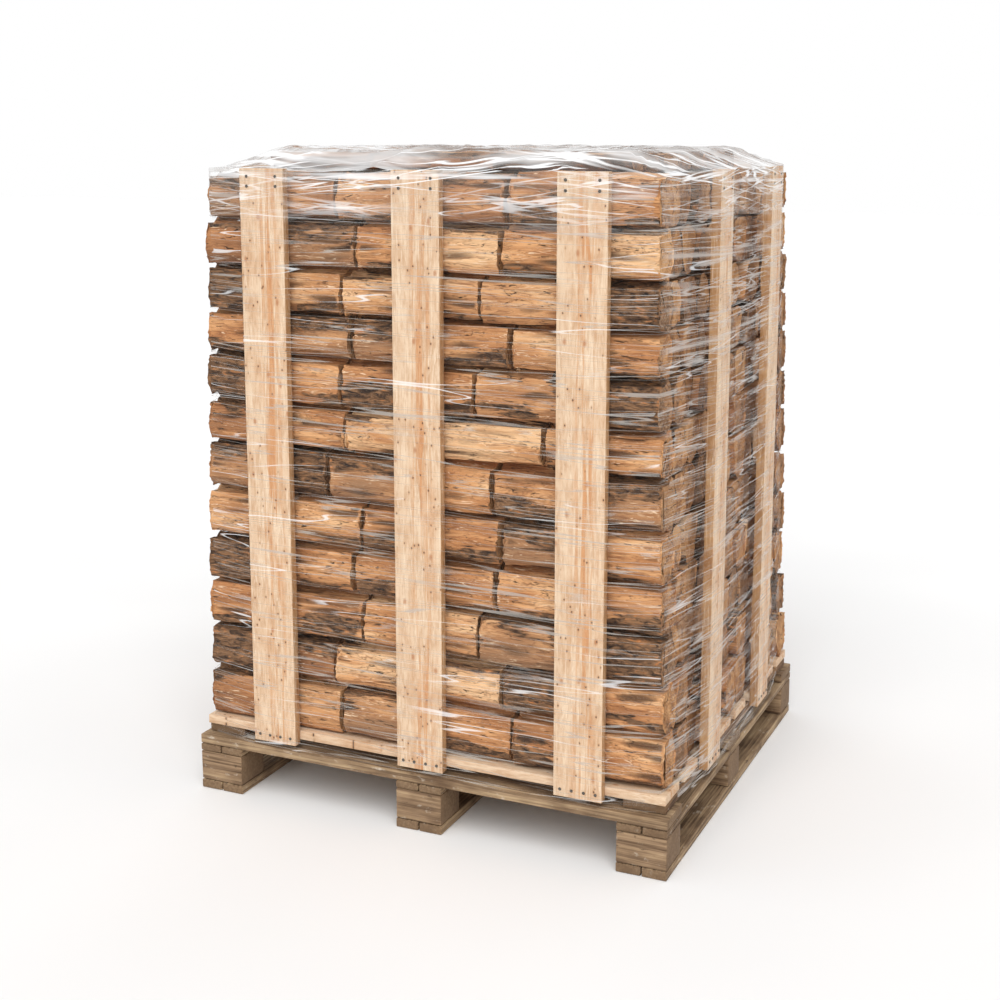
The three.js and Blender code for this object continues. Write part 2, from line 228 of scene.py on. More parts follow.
def add_surface(add, inputs):
    """A surface with these inputs, led to the material's output."""
    add("OutputMaterial", {"Surface": add("BsdfPrincipled", inputs)})


def grain(add, axis, along_mm, across_mm, detail=3.0, distortion=0.0):
    """Noise from 0 to 1 whose lumps are this long along the grain's axis and this wide across it."""
    scale = [1000 / across_mm] * 3
    scale[axis] = 1000 / along_mm
    place = add("Mapping", {"Vector": add("TexCoord", output="Object"), "Scale": scale})
    return add("TexNoise", {
        "Vector": place, "Scale": 1.0, "Detail": detail, "Roughness": 0.6, "Distortion": distortion,
    }, output="Fac")


def hairlines(add, value, level, width):
    """1 along the thin lines where a noise crosses this level, 0 elsewhere."""
    away = add("Math", [add("Math", [value, level], "SUBTRACT")], "ABSOLUTE")
    return add("MapRange", [away, 0.3 * width, width, 1.0, 0.0])


# Materials

def make_torn_firewood():
    """Firewood split by a wedge: torn orange-brown fibres, dark cracks, greyed places and patches of bark."""
    material, add = new_material("firewood_split_and_barked")
    # Painted shade comes in through two attributes: the tone, darker towards each log's underside, and the
    # depth of the cut skin
    tone, grey, rind, hollow_shade = (add("Attribute", attribute_name=name, output="Fac")
                                for name in ("tone", "grey", "rind", "hollow_shade"))
    # Real fibres are under a millimetre wide; they are drawn 6 mm apart, so that they show
    fibres = grain(add, 0, 70, 6, 3.0, 0.5)
    strands = grain(add, 0, 150, 15, 3.0, 0.6)
    patches = grain(add, 0, 190, 45, 1.0)
    chips = grain(add, 0, 32, 9, 3.0, 0.8)
    shade = add("Math", [tone, add("MapRange", [patches, 0.3, 0.7, -0.25, 0.25])], "ADD")
    shade = add("Math", [shade, add("MapRange", [strands, 0.3, 0.7, -0.2, 0.2])], "ADD")
    wood = add("ValToRGB", [shade], stops=[
        (0.0, "#e6bb8d"), (0.25, "#d49d6a"), (0.55, "#b47b4c"), (1.0, "#784a2b"),
    ])
    greyness = add("Math", [grey, add("MapRange", [patches, 0.35, 0.6, 0.3, 1.0])], "MULTIPLY")
    wood = add("MixRGB", [greyness, wood, "#967456"])
    dusk = add("MapRange", [fibres, 0.5, 0.68, 0.0, 0.45])
    wood = add("MixRGB", [dusk, wood, "#a0724e"], blend_type="MULTIPLY")
    line = add("Math", [hairlines(add, strands, 0.52, 0.018), hairlines(add, strands, 0.40, 0.018)],
               "MAXIMUM")
    line = add("Math", [line, 0.6], "MULTIPLY")
    wood = add("MixRGB", [line, wood, "#7f5233"])
    torn = add("Math", [hairlines(add, strands, 0.58, 0.02), add("MapRange", [fibres, 0.50, 0.58, 0.0, 0.8])],
               "MULTIPLY")
    wood = add("MixRGB", [torn, wood, "#f0d3b0"])
    bark = add("ValToRGB", [chips], stops=[
        (0.33, "#22150b"), (0.42, "#4c331f"), (0.52, "#765539"), (0.61, "#946c49"), (0.68, "#b77038"),
        (0.75, "#dcae80"),
    ])
    ragged = add("Math", [rind, add("MapRange", [patches, 0.3, 0.7, -0.28, 0.28])], "ADD")
    ragged = add("Math", [ragged, add("MapRange", [strands, 0.3, 0.7, -0.14, 0.14])], "ADD")
    barked = add("MapRange", [ragged, -0.01, 0.02])
    colour = add("MixRGB", [barked, wood, bark])
    crack = add("Math", [hairlines(add, strands, 0.45, 0.025), add("MapRange", [chips, 0.55, 0.61])],
                "MULTIPLY")
    dark = add("Math", [crack, add("MapRange", [chips, 0.71, 0.75])], "MAXIMUM")
    # Painted shade: the wood is darkened where its torn skin is cut deepest
    dark = add("Math", [dark, add("MapRange", [hollow_shade, 0.7, 1.0, 0.0, 0.8])], "MAXIMUM")
    colour = add("MixRGB", [dark, colour, "#372112"])
    relief = add("Math", [fibres, strands], "ADD")
    relief = add("Math", [relief, add("Math", [barked, chips], "MULTIPLY")], "ADD")
    relief = add("Math", [relief, crack], "SUBTRACT")
    normal = add("Bump", {"Height": relief, "Distance": 0.004, "Strength": 0.8})
    add_surface(add, {"Base Color": colour, "Roughness": 0.82, "Normal": normal})
    return material


def make_sawn_end():
    """A log's sawn end: dull tan, with growth rings round the pith and drying cracks that run out from it."""
    material, add = new_material("firewood_crosscut_end")
    across = add("UVMap", uv_map="rings")
    # The tone attribute carries painted shade, darker towards each log's underside
    tone, grey = (add("Attribute", attribute_name=name, output="Fac") for name in ("tone", "grey"))
    fuzz = grain(add, 0, 8, 5, 3.0)
    blotches = grain(add, 0, 45, 30, 1.0)
    radius = add("VectorMath", [across], "LENGTH", output="Value")
    wobble = add("Math", [blotches, 0.02], "MULTIPLY")
    wobbly = add("Math", [radius, wobble], "ADD")
    # Real rings are 2 to 3 mm apart; they are drawn 7 mm apart, so that they show
    rings = add("Math", [add("Math", [wobbly, 2 * math.pi / 0.007], "MULTIPLY")], "SINE")
    ahead = add("SeparateXYZ", [across], output="X")
    upward = add("SeparateXYZ", [across], output="Y")
    turned = add("Math", [add("Math", [upward, ahead], "ARCTAN2"), blotches], "ADD")
    spokes = add("Math", [add("Math", [turned, 9.0], "MULTIPLY")], "SINE")
    checks = add("Math", [add("MapRange", [spokes, 0.95, 0.99]), add("MapRange", [fuzz, 0.46, 0.56])],
                 "MULTIPLY")
    shade = add("Math", [tone, add("MapRange", [blotches, 0.3, 0.7, -0.3, 0.35])], "ADD")
    wood = add("ValToRGB", [shade], stops=[
        (0.0, "#cf9c68"), (0.4, "#b07b49"), (0.7, "#936036"), (1.0, "#6a4325"),
    ])
    wood = add("MixRGB", [add("Math", [grey, 0.5], "MULTIPLY"), wood, "#8a684a"])
    ring = add("MapRange", [rings, -1.0, 1.0, 0.0, 0.35])
    wood = add("MixRGB", [ring, wood, "#86603f"], blend_type="MULTIPLY")
    wood = add("MixRGB", [add("MapRange", [fuzz, 0.42, 0.7, 0.0, 0.4]), wood, "#dcb88c"])
    colour = add("MixRGB", [checks, wood, "#2f1d10"])
    relief = add("Math", [fuzz, checks], "SUBTRACT")
    normal = add("Bump", {"Height": relief, "Distance": 0.0015, "Strength": 0.8})
    add_surface(add, {"Base Color": colour, "Roughness": 0.88, "Normal": normal})
    return material


def scattered_spots(add, wide_mm, tall_mm):
    """How far a point is from the nearest spot, in cells of this size that hold one spot each."""
    place = add("Mapping", {
        "Vector": add("UVMap", uv_map="place"), "Scale": (1000 / wide_mm, 1000 / tall_mm, 1),
    })
    return add("TexVoronoi", {"Vector": place, "Scale": 1.0}, output="Distance", voronoi_dimensions="2D")


def make_fresh_pine(name, axis, stops, speckled=True):
    """Fresh pine from the saw: cream sapwood, orange growth lines down the middle, small knots and specks.

    Stops are its wood's colours, darker for a slat's narrow sides as painted shade. A board's narrow sides
    aren't speckled.
    """
    material, add = new_material(name)
    across = add("SeparateXYZ", [add("UVMap", uv_map="board")], output="X")
    from_heart = add("Math", [add("Math", [across, HEART_OFFSET], "SUBTRACT")], "ABSOLUTE")
    heart = add("MapRange", [from_heart, 0.008, 0.034, 1.0, 0.1])
    lines = grain(add, axis, 260, 11, 3.0, 0.9)
    # Pine's fine figure is drawn 5 mm wide, so that it shows
    fine = grain(add, axis, 30, 5, 3.0)
    stains = grain(add, axis, 90, 50, 3.0)
    wood = add("ValToRGB", [stains], stops=stops)
    growth = add("Math", [add("MapRange", [lines, 0.47, 0.6]), heart], "MULTIPLY")
    wood = add("MixRGB", [growth, wood, "#cb9465"])
    figure = add("MapRange", [fine, 0.45, 0.62, 0.0, 0.35])
    wood = add("MixRGB", [figure, wood, "#cfae8e"], blend_type="MULTIPLY")
    gleam = add("Math", [hairlines(add, lines, 0.42, 0.02), 0.5], "MULTIPLY")
    wood = add("MixRGB", [gleam, wood, "#f0dcc2"])
    if speckled:
        # Specks are kept only where the stains are strong
        knots = scattered_spots(add, 90, 170)
        specks = scattered_spots(add, 24, 34)
        wood = add("MixRGB", [add("MapRange", [knots, 0.02, 0.06, 0.7, 0.0]), wood, "#a8693c"])
        kept = add("MapRange", [stains, 0.50, 0.54])
        halo = add("Math", [add("MapRange", [specks, 0.08, 0.2, 0.4, 0.0]), kept], "MULTIPLY")
        wood = add("MixRGB", [halo, wood, "#b5763f"])
        speck = add("Math", [add("MapRange", [specks, 0.04, 0.09, 0.9, 0.0]), kept], "MULTIPLY")
        wood = add("MixRGB", [speck, wood, "#3f2c20"])
    normal = add("Bump", {"Height": lines, "Distance": 0.001, "Strength": 0.5})
    add_surface(add, {"Base Color": wood, "Roughness": 0.62, "Normal": normal})
    return material


def make_old_softwood(name, axis, stops):
    """Used softwood, greyed and scuffed by years of yards: dirt along the grain, pale rubbed places."""
    material, add = new_material(name)
    fibres = grain(add, axis, 260, 6, 3.0, 0.3)
    dirt = grain(add, axis, 140, 60, 3.0)
    scuffs = grain(add, axis, 30, 14, 4.0)
    wood = add("ValToRGB", [fibres], stops=stops)
    grime = add("MapRange", [dirt, 0.42, 0.7, 0.0, 0.75])
    wood = add("MixRGB", [grime, wood, "#7c6249"], blend_type="MULTIPLY")
    wood = add("MixRGB", [add("MapRange", [scuffs, 0.62, 0.74, 0.0, 0.6]), wood, "#d9cdbb"])
    wood = add("MixRGB", [add("MapRange", [scuffs, 0.28, 0.36, 0.8, 0.0]), wood, "#3a2a1c"])
    # The sawn ends have soaked up dirt, and their grain is too fine to show
    facing = add("SeparateXYZ", [add("NewGeometry", output="Normal")], output="XYZ"[axis])
    at_end = add("MapRange", [add("Math", [facing], "ABSOLUTE"), 0.75, 0.9, 0.0, 0.75])
    wood = add("MixRGB", [at_end, wood, "#735a41"])
    relief = add("Math", [fibres, scuffs], "ADD")
    normal = add("Bump", {"Height": relief, "Distance": 0.001, "Strength": 0.6})
    add_surface(add, {"Base Color": wood, "Roughness": 0.85, "Normal": normal})
    return material


def stretched_noise(add, run, per_metre_round, per_metre_up, detail):
    """Noise from 0 to 1 on the film's own map, with so many lumps to a metre round the load and up it."""
    place = add("Mapping", {"Vector": run, "Scale": (per_metre_round, per_metre_up, 1)})
    return add("TexNoise", {"Vector": place, "Scale": 1.0, "Detail": detail}, output="Fac")


def slanted(add, run, slope):
    """The film's map turned a little, so that a pattern on it climbs round the load."""
    return add("Mapping", {"Vector": run, "Rotation": (0, 0, slope)})


def roped_band(add, run, strands, near_height, climb):
    """1 where the film is drawn together in a band across the right face, 0 elsewhere.

    The band is at this height by the near corner, and climbs this much on its way to the far one.
    """
    round_load = add("SeparateXYZ", [run], output="X")
    height = add("SeparateXYZ", [run], output="Y")
    slope = climb / RIGHT_FACE_RUN
    line = add("Math", [round_load, slope, near_height - slope * FRONT_FACE_RUN], "MULTIPLY_ADD")
    away = add("Math", [add("Math", [height, line], "SUBTRACT")], "ABSOLUTE")
    drawn = add("MapRange", [away, 0.3 * BAND_HALF_WIDTH, BAND_HALF_WIDTH, 1.0, 0.0])
    return add("Math", [drawn, add("MapRange", [strands, 0.42, 0.56, 0.15, 1.0])], "MULTIPLY")


def make_wrapped_film():
    """Stretch film, blown polyethylene, pulled taut: clear but for greyish threads and some white creases,
    which are painted highlights.

    On the right face it lies in many thin streaks and is roped together in bands. Towards the top it is
    hazier, and white creases, painted highlights, climb and fall from slat to slat.
    """
    material, add = new_material("polyethylene_stretch_film")
    run = add("UVMap", uv_map="wrap")
    round_load = add("SeparateXYZ", [run], output="X")
    top = add("MapRange", [add("SeparateXYZ", [run], output="Y"), FILM_HAZE_LOW, FILM_HAZE_HIGH])
    # The creases are a millimetre wide or less; they are drawn 3 mm wide, so that they show
    pull = stretched_noise(add, slanted(add, run, 0.012), 0.8, 30, 2.0)
    tug = stretched_noise(add, slanted(add, run, -0.015), 1.1, 17, 2.0)
    where = stretched_noise(add, run, 3.0, 22, 1.0)
    elsewhere = stretched_noise(add, run, 2.2, 11, 1.0)
    thin = add("Math", [hairlines(add, pull, 0.46, 0.012), hairlines(add, pull, 0.55, 0.012)],
               "MAXIMUM")
    thin = add("Math", [thin, add("MapRange", [where, 0.38, 0.58, 0.25, 0.6])], "MULTIPLY")
    # Painted highlights: the brightest creases, near-white, are kept only in some places
    bright = add("MapRange", [elsewhere, 0.5, 0.6, 0.0, 0.55])
    crease_highlights = add("Math", [hairlines(add, tug, 0.5, 0.008), bright], "MULTIPLY")
    rising = stretched_noise(add, slanted(add, run, 0.10), 1.4, 26, 3.0)
    falling = stretched_noise(add, slanted(add, run, -0.12), 1.4, 26, 3.0)
    fan = add("Math", [hairlines(add, rising, 0.5, 0.02), hairlines(add, falling, 0.5, 0.02)],
              "MAXIMUM")
    fold_highlight = add("MapRange", [stretched_noise(add, run, 1.8, 55, 4.0), 0.54, 0.66, 0.0, 0.8])
    fan = add("Math", [fan, fold_highlight], "MAXIMUM")
    fan = add("Math", [fan, add("MapRange", [where, 0.36, 0.56, 0.25, 0.8])], "MULTIPLY")
    crease_highlights = add("Math", [crease_highlights, add("Math", [fan, top], "MULTIPLY")], "MAXIMUM")
    far_corner = FRONT_FACE_RUN + RIGHT_FACE_RUN
    past_near = add("MapRange", [round_load, FRONT_FACE_RUN - 0.02, FRONT_FACE_RUN + 0.04])
    before_far = add("MapRange", [round_load, far_corner - 0.03, far_corner, 1.0, 0.0])
    on_right = add("Math", [past_near, before_far], "MULTIPLY")
    strands = stretched_noise(add, slanted(add, run, 0.03), 1.3, 120, 3.0)
    threads = stretched_noise(add, slanted(add, run, -0.02), 1.6, 34, 3.0)
    crossing = stretched_noise(add, slanted(add, run, 0.07), 1.2, 20, 2.0)
    streaks = add("Math", [hairlines(add, threads, 0.46, 0.014), hairlines(add, threads, 0.56, 0.014)],
                  "MAXIMUM")
    streaks = add("Math", [streaks, hairlines(add, crossing, 0.5, 0.010)], "MAXIMUM")
    streaks = add("Math", [streaks, add("MapRange", [where, 0.36, 0.6, 0.15, 0.6])], "MULTIPLY")
    streaks = add("Math", [streaks, add("MapRange", [strands, 0.6, 0.75, 0.0, 0.25])], "MAXIMUM")
    for near_height, climb in RIGHT_FACE_BANDS:
        band = roped_band(add, run, strands, near_height, climb)
        streaks = add("Math", [streaks, add("Math", [band, 0.55], "MULTIPLY")], "MAXIMUM")
    streaks = add("Math", [streaks, on_right], "MULTIPLY")
    cover = add("Math", [add("Math", [thin, crease_highlights], "MAXIMUM"), streaks], "MAXIMUM")
    cover = add("Math", [cover, add("MapRange", [top, 0.0, 1.0, 0.01, 0.14])], "ADD")
    # Painted highlights: the brightest creases are tinted near-white
    tint = add("MixRGB", [add("MapRange", [crease_highlights, 0.05, 0.3]), "#b5afa8", "#fafbfc"])
    tint = add("MixRGB", [add("MapRange", [streaks, 0.1, 0.5]), tint, "#cbc5bf"])
    add_surface(add, {"Base Color": tint, "Roughness": 0.25, "IOR": 1.5, "Alpha": cover})
    return material


def make_crumpled_film():
    """Stretch film, blown polyethylene, laid loose: cloudy grey-white, with long folds painted bright as
    highlights.
    """
    material, add = new_material("polyethylene_crumpled_film")
    run = add("UVMap", uv_map="wrap")
    clouds = stretched_noise(add, run, 3.0, 12, 3.0)
    creases = stretched_noise(add, slanted(add, run, 0.25), 2.0, 20, 2.0)
    ropes = stretched_noise(add, slanted(add, run, -0.2), 1.6, 16, 2.0)
    fold_highlight = add("Math", [add("MapRange", [creases, 0.55, 0.64]), hairlines(add, ropes, 0.5, 0.03)],
               "MAXIMUM")
    cover = add("MapRange", [clouds, 0.42, 0.60, 0.15, 0.78])
    cover = add("Math", [cover, add("Math", [fold_highlight, 0.95], "MULTIPLY")], "MAXIMUM")
    sheet = add("ValToRGB", [clouds], stops=[(0.38, "#b5b1ae"), (0.62, "#e0dedd")])
    # Painted highlights: the folds are tinted near-white and made nearly opaque
    tint = add("MixRGB", [fold_highlight, sheet, "#fbfbfc"])
    normal = add("Bump", {"Height": creases, "Distance": 0.006, "Strength": 0.4})
    add_surface(add, {"Base Color": tint, "Roughness": 0.22, "IOR": 1.5, "Alpha": cover, "Normal": normal})
    return material


def make_nail_steel():
    """Nail heads, cold-headed steel wire: small, dark and dull."""
    material, add = new_material("cold_headed_steel_nail")
    wear = add("ValToRGB", [grain(add, 0, 2, 2, 2.0)], stops=[(0.35, "#4a4642"), (0.65, "#7b756e")])
    add_surface(add, {"Base Color": wear, "Metallic": 0.8, "Roughness": 0.5})
    return material


# Modelling

def select_only(piece):
    bpy.ops.object.select_all(action="DESELECT")
    piece.select_set(True)
    bpy.context.view_layer.objects.active = piece


def pick(piece, kind, test):
    """Enters edit mode with the faces, edges or vertices selected that the test accepts."""
    select_only(piece)
    bpy.ops.object.mode_set(mode="EDIT")
    bpy.ops.mesh.select_mode(type=kind)
    bpy.ops.mesh.select_all(action="DESELECT")
    bpy.ops.object.mode_set(mode="OBJECT")
    mesh = piece.data
    for part in {"FACE": mesh.polygons, "EDGE": mesh.edges, "VERT": mesh.vertices}[kind]:
        part.select = test(part)
    bpy.ops.object.mode_set(mode="EDIT")


def leave_edit():
    bpy.ops.object.mode_set(mode="OBJECT")


def edge_vector(mesh, edge):
    first, second = (mesh.vertices[index].co for index in edge.vertices)
    return second - first


def edge_middle(mesh, edge):
    first, second = (mesh.vertices[index].co for index in edge.vertices)
    return (first + second) / 2


def move_corner(piece, index, place):
    pick(piece, "VERT", lambda vertex: vertex.index == index)
    bpy.ops.transform.translate(value=Vector(place) - piece.data.vertices[index].co)
    leave_edit()


def cut_edges(piece, test, cuts, smoothness=0.0):
    """Divides the edges that the test accepts, and the faces between them."""
    pick(piece, "EDGE", test)
    bpy.ops.mesh.subdivide(number_cuts=cuts, smoothness=smoothness)
    leave_edit()


def map_flat(mesh, name, middle, across, up):
    """A map in metres: how far each point is from this middle along two axes."""
    flat_map = mesh.uv_layers.new(name=name)
    for loop, mapped in zip(mesh.loops, flat_map.data):
        spot = mesh.vertices[loop.vertex_index].co - middle
        mapped.uv = (spot[across], spot[up])


def point_places(mesh):
    """The mesh's points, as rows of x, y and z."""
    places = numpy.empty(len(mesh.vertices) * 3)
    mesh.vertices.foreach_get("co", places)
    return places.reshape(-1, 3)


def apply_modifiers(piece):
    select_only(piece)
    for modifier in list(piece.modifiers):
        bpy.ops.object.modifier_apply(modifier=modifier.name)


def add_relief(piece, name, kind, size, stretch, depth, level=1.0):
    """Moves a piece's skin by a noise whose lumps are this size, times the stretch along each axis.

    Where the noise is at the level given, the skin stays. Above it the skin goes out, and below it, in.
    """
    texture = bpy.data.textures.new(name, kind)
    texture.noise_scale = 1.0
    if kind == "MUSGRAVE":
        texture.musgrave_type = "RIDGED_MULTIFRACTAL"
    bpy.ops.object.empty_add(location=(0, 0, 0))
    ruler = bpy.context.object
    ruler.scale = [size * share for share in stretch]
    bpy.context.view_layer.update()
    modifier = piece.modifiers.new(name, "DISPLACE")
    modifier.texture = texture
    modifier.texture_coords = "OBJECT"
    modifier.texture_coords_object = ruler
    modifier.strength = depth
    modifier.mid_level = level
    # Only the logs have this group of points, which are moved less at their ends
    modifier.vertex_group = "skin" if "skin" in piece.vertex_groups else ""
    apply_modifiers(piece)
    bpy.data.objects.remove(ruler)


def smooth(piece, degrees):
    select_only(piece)
    bpy.ops.object.shade_smooth_by_angle(angle=math.radians(degrees))


def join(pieces):
    bpy.ops.object.select_all(action="DESELECT")
    for piece in pieces:
        piece.select_set(True)
    bpy.context.view_layer.objects.active = pieces[0]
    bpy.ops.object.join()
    return bpy.context.object


def slat_nodes():
    return [node for node in sorted(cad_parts) if node.startswith("slat_")]


def finish_piece(piece, name, replaced=()):
    """Names a piece, and says what it rides on and the part's nodes that it stands for."""
    piece.name = name
    piece.data.name = name
    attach(piece, "root")
    if replaced:
        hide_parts(*replaced)


# Boards

def model_board(node, materials, wear):
    """A sawn board or block in its node's box: cut across in places, its edges eased, and its faces uneven.

    A second material, if there is one, is for its narrow long sides: for the slats, a darker copy as painted
    shade.
    """
    wear_mm, edge_mm = wear
    low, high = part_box(node)
    size = high - low
    centre = (low + high) / 2
    bpy.ops.mesh.primitive_cube_add(size=1, location=centre, scale=size)
    board = bpy.context.object
    bpy.ops.object.transform_apply(location=True, rotation=True, scale=True)
    mesh = board.data
    _, wide, along = sorted(range(3), key=lambda axis: size[axis])
    cut_edges(board, lambda edge: abs(edge_vector(mesh, edge)[along]) > 0.9 * size[along],
              max(2, round(size[along] / BOARD_CUT_SPACING)))
    cut_edges(board, lambda edge: abs(edge_vector(mesh, edge)[wide]) > 0.9 * size[wide], 3)
    bevel = board.modifiers.new("eased_edges", "BEVEL")
    bevel.width = edge_mm / 1000
    bevel.segments = 2
    bevel.limit_method = "ANGLE"
    bevel.angle_limit = math.radians(60)
    apply_modifiers(board)
    stretch = [1.0, 1.0, 1.0]
    stretch[along] = 5.0
    add_relief(board, "sawn_face", "CLOUDS", 0.05, stretch, wear_mm / 1000)
    # One map starts at the board's middle, and one at the pallet's, so that no two boards look the same
    map_flat(mesh, "board", centre, wide, along)
    map_flat(mesh, "place", Vector((0, 0, 0)), wide, along)
    for material in materials:
        mesh.materials.append(material)
    if len(materials) > 1:
        pick(board, "FACE", lambda face: abs(face.normal[wide]) > 0.7)
        board.active_material_index = 1
        bpy.ops.object.material_slot_assign()
        leave_edit()
    smooth(board, 35)
    finish_piece(board, node + "_timber", [node])


def model_pallet():
    board_stops = [(0.3, "#5b4630"), (0.45, "#8e7458"), (0.6, "#af9472"), (0.75, "#c6ad89")]
    block_stops = [(0.3, "#5f4832"), (0.45, "#8c7156"), (0.6, "#a98d6c"), (0.75, "#c0a684")]
    deck = make_old_softwood("old_softwood_deck_board", 0, board_stops)
    runner = make_old_softwood("old_softwood_runner", 1, board_stops)
    block = make_old_softwood("old_softwood_pallet_block", 0, block_stops)
    for node in sorted(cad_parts):
        if node.startswith("block_"):
            model_board(node, [block], BLOCK_WEAR)
        elif node.startswith("deck_board_"):
            model_board(node, [deck], OLD_BOARD_WEAR)
        elif node.startswith(("bottom_board_", "stringer_board_")):
            model_board(node, [runner], OLD_BOARD_WEAR)


def model_crate():
    bearer_stops = [(0.3, "#3f2c1c"), (0.45, "#6d4e33"), (0.6, "#8a6847"), (0.75, "#a88560")]
    bearer = make_old_softwood("old_softwood_dark_bearer", 1, bearer_stops)
    pale_stops = [(0.36, "#e0c5a7"), (0.5, "#d9bb9b"), (0.64, "#ceaa87")]
    # Painted shade: the slats' narrow sides get a darker copy of the pale colours
    shaded_edge_stops = [(0.36, "#c09a6f"), (0.5, "#b38a5f"), (0.64, "#a37a51")]
    floor = make_fresh_pine("fresh_pine_floor_board", 0, pale_stops)
    slats = [
        make_fresh_pine("fresh_pine_slat", 2, pale_stops),
        make_fresh_pine("fresh_pine_slat_edge_painted_shade", 2, shaded_edge_stops, speckled=False),
    ]
    for node in sorted(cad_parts):
        if node.startswith("crate_bearer_"):
            model_board(node, [bearer], OLD_BOARD_WEAR)
        elif node.startswith("crate_floor_board_"):
            model_board(node, [floor], FRESH_BOARD_WEAR)
        elif node.startswith("slat_"):
            model_board(node, slats, FRESH_BOARD_WEAR)
    model_nails(slat_nodes())


def model_nails(slats):
    """Nail heads in the slats' outer faces: a row near the foot of each, and two pairs near its top."""
    heads = []
    for slat in slats:
        low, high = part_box(slat)
        flat, wide = (1, 0) if high.x - low.x > high.y - low.y else (0, 1)
        outer = high[flat] if high[flat] > 0 else low[flat]
        middle = (low[wide] + high[wide]) / 2
        foot = [(share, low.z + FOOT_NAILS_UP) for share in FOOT_NAILS_ACROSS]
        head = [(share, high.z - drop) for share in TOP_NAILS_ACROSS for drop in TOP_NAILS_DOWN]
        for share, up in foot + head:
            place = Vector((0, 0, up))
            place[flat] = outer + math.copysign(NAIL_HEAD_PROUD, outer)
            place[wide] = middle + share * (high[wide] - low[wide])
            outward = Vector([math.copysign(1, outer) if axis == flat else 0 for axis in range(3)])
            turn = outward.to_track_quat("Z", "Y").to_euler()
            bpy.ops.mesh.primitive_cylinder_add(vertices=12, radius=NAIL_RADIUS, depth=NAIL_HEAD_THICKNESS,
                                                location=place, rotation=turn)
            bpy.ops.object.transform_apply(location=True, rotation=True, scale=True)
            heads.append(bpy.context.object)
    nails = join(heads)
    bevel = nails.modifiers.new("rounded_rims", "BEVEL")
    bevel.width = 0.0004
    bevel.segments = 2
    apply_modifiers(nails)
    nails.data.materials.append(make_nail_steel())
    smooth(nails, 40)
    # No slot: the record has no steel among its materials
    finish_piece(nails, "slat_nail_heads")


# Logs: their usual size, and how many times each kind is cut across, on its near side and all round
LOG_LENGTH = 0.39
LOG_WIDTH = 0.096
LOG_HEIGHT = 0.110
FACE_LOG_CUTS = (27, 7, 1)
END_LOG_CUTS = (2, 0, 1)
MIDDLE_LOG_CUTS = (1, 0, 0)
TOP_LOG_CUTS = (14, 0, 2)
# Edges shorter than these aren't cut again, on the near side and all round
LEAST_FACE_EDGE = 0.008
LEAST_EDGE = 0.012
# An outline is the log's end, seen from the right: points as (y, z) in fractions of its width and height,
# from the top of the near side, down, along the bottom and up the far side. The pith is its rings' centre.
FACE_OUTLINES = [
    {"points": [(-0.42, 0.45), (-0.44, 0.26), (-0.47, 0.06), (-0.50, -0.16), (-0.44, -0.32), (-0.32, -0.46),
                (-0.06, -0.45), (0.14, -0.58), (0.34, -0.32), (0.46, 0.02), (0.34, 0.36), (0.12, 0.58),
                (-0.08, 0.44)], "pith": (0.5, 0.1)},
    {"points": [(-0.36, 0.46), (-0.42, 0.30), (-0.49, 0.12), (-0.48, -0.10), (-0.46, -0.30), (-0.38, -0.45),
                (-0.08, -0.46), (0.14, -0.58), (0.36, -0.30), (0.46, 0.08), (0.30, 0.38), (0.12, 0.58),
                (-0.10, 0.46)], "pith": (0.1, 0.9)},
    {"points": [(-0.45, 0.44), (-0.47, 0.22), (-0.49, -0.02), (-0.50, -0.28), (-0.42, -0.37), (-0.32, -0.46),
                (-0.08, -0.44), (0.12, -0.58), (0.32, -0.32), (0.45, 0.0), (0.36, 0.34), (0.10, 0.58),
                (-0.12, 0.45)], "pith": (0.6, 0.0)},
    {"points": [(-0.40, 0.46), (-0.42, 0.30), (-0.44, 0.12), (-0.50, 0.02), (-0.49, -0.24), (-0.36, -0.46),
                (-0.10, -0.44), (0.12, -0.58), (0.34, -0.32), (0.46, 0.06), (0.32, 0.36), (0.10, 0.58),
                (-0.12, 0.44)], "pith": (-0.2, -0.9)},
    {"points": [(-0.38, 0.45), (-0.45, 0.30), (-0.48, 0.06), (-0.50, -0.20), (-0.46, -0.34), (-0.34, -0.44),
                (-0.06, -0.46), (0.14, -0.58), (0.36, -0.32), (0.44, 0.02), (0.30, 0.36), (0.12, 0.58),
                (-0.08, 0.46)], "pith": (0.3, 0.7)},
]
INNER_OUTLINES = [
    {"points": [(-0.36, 0.50), (-0.50, -0.05), (-0.55, -0.36), (-0.30, -0.48), (0.10, -0.50), (0.45, -0.46),
                (0.57, -0.30), (0.44, 0.12), (0.34, 0.48)], "pith": (0.0, 0.75)},
    {"points": [(-0.30, 0.49), (-0.43, 0.10), (-0.56, -0.44), (-0.38, -0.50), (0.28, -0.50), (0.57, -0.42),
                (0.46, 0.0), (0.40, 0.36), (0.20, 0.48)], "pith": (-0.45, -0.45)},
    {"points": [(-0.12, 0.50), (-0.28, 0.40), (-0.40, 0.14), (-0.55, -0.38), (-0.26, -0.50), (0.20, -0.50),
                (0.55, -0.36), (0.50, 0.0), (0.37, 0.30), (0.14, 0.49)], "pith": (0.2, 0.55)},
    {"points": [(-0.20, 0.48), (-0.38, 0.32), (-0.47, 0.0), (-0.42, -0.36), (-0.10, -0.50), (0.25, -0.47),
                (0.44, -0.28), (0.47, 0.02), (0.36, 0.34), (0.10, 0.50)], "pith": (-0.6, 0.1)},
    {"points": [(-0.35, 0.47), (-0.44, 0.12), (-0.56, -0.30), (-0.47, -0.47), (-0.05, -0.50), (0.40, -0.48),
                (0.55, -0.40), (0.42, 0.10), (0.30, 0.46), (0.0, 0.50)], "pith": (0.45, -0.4)},
]
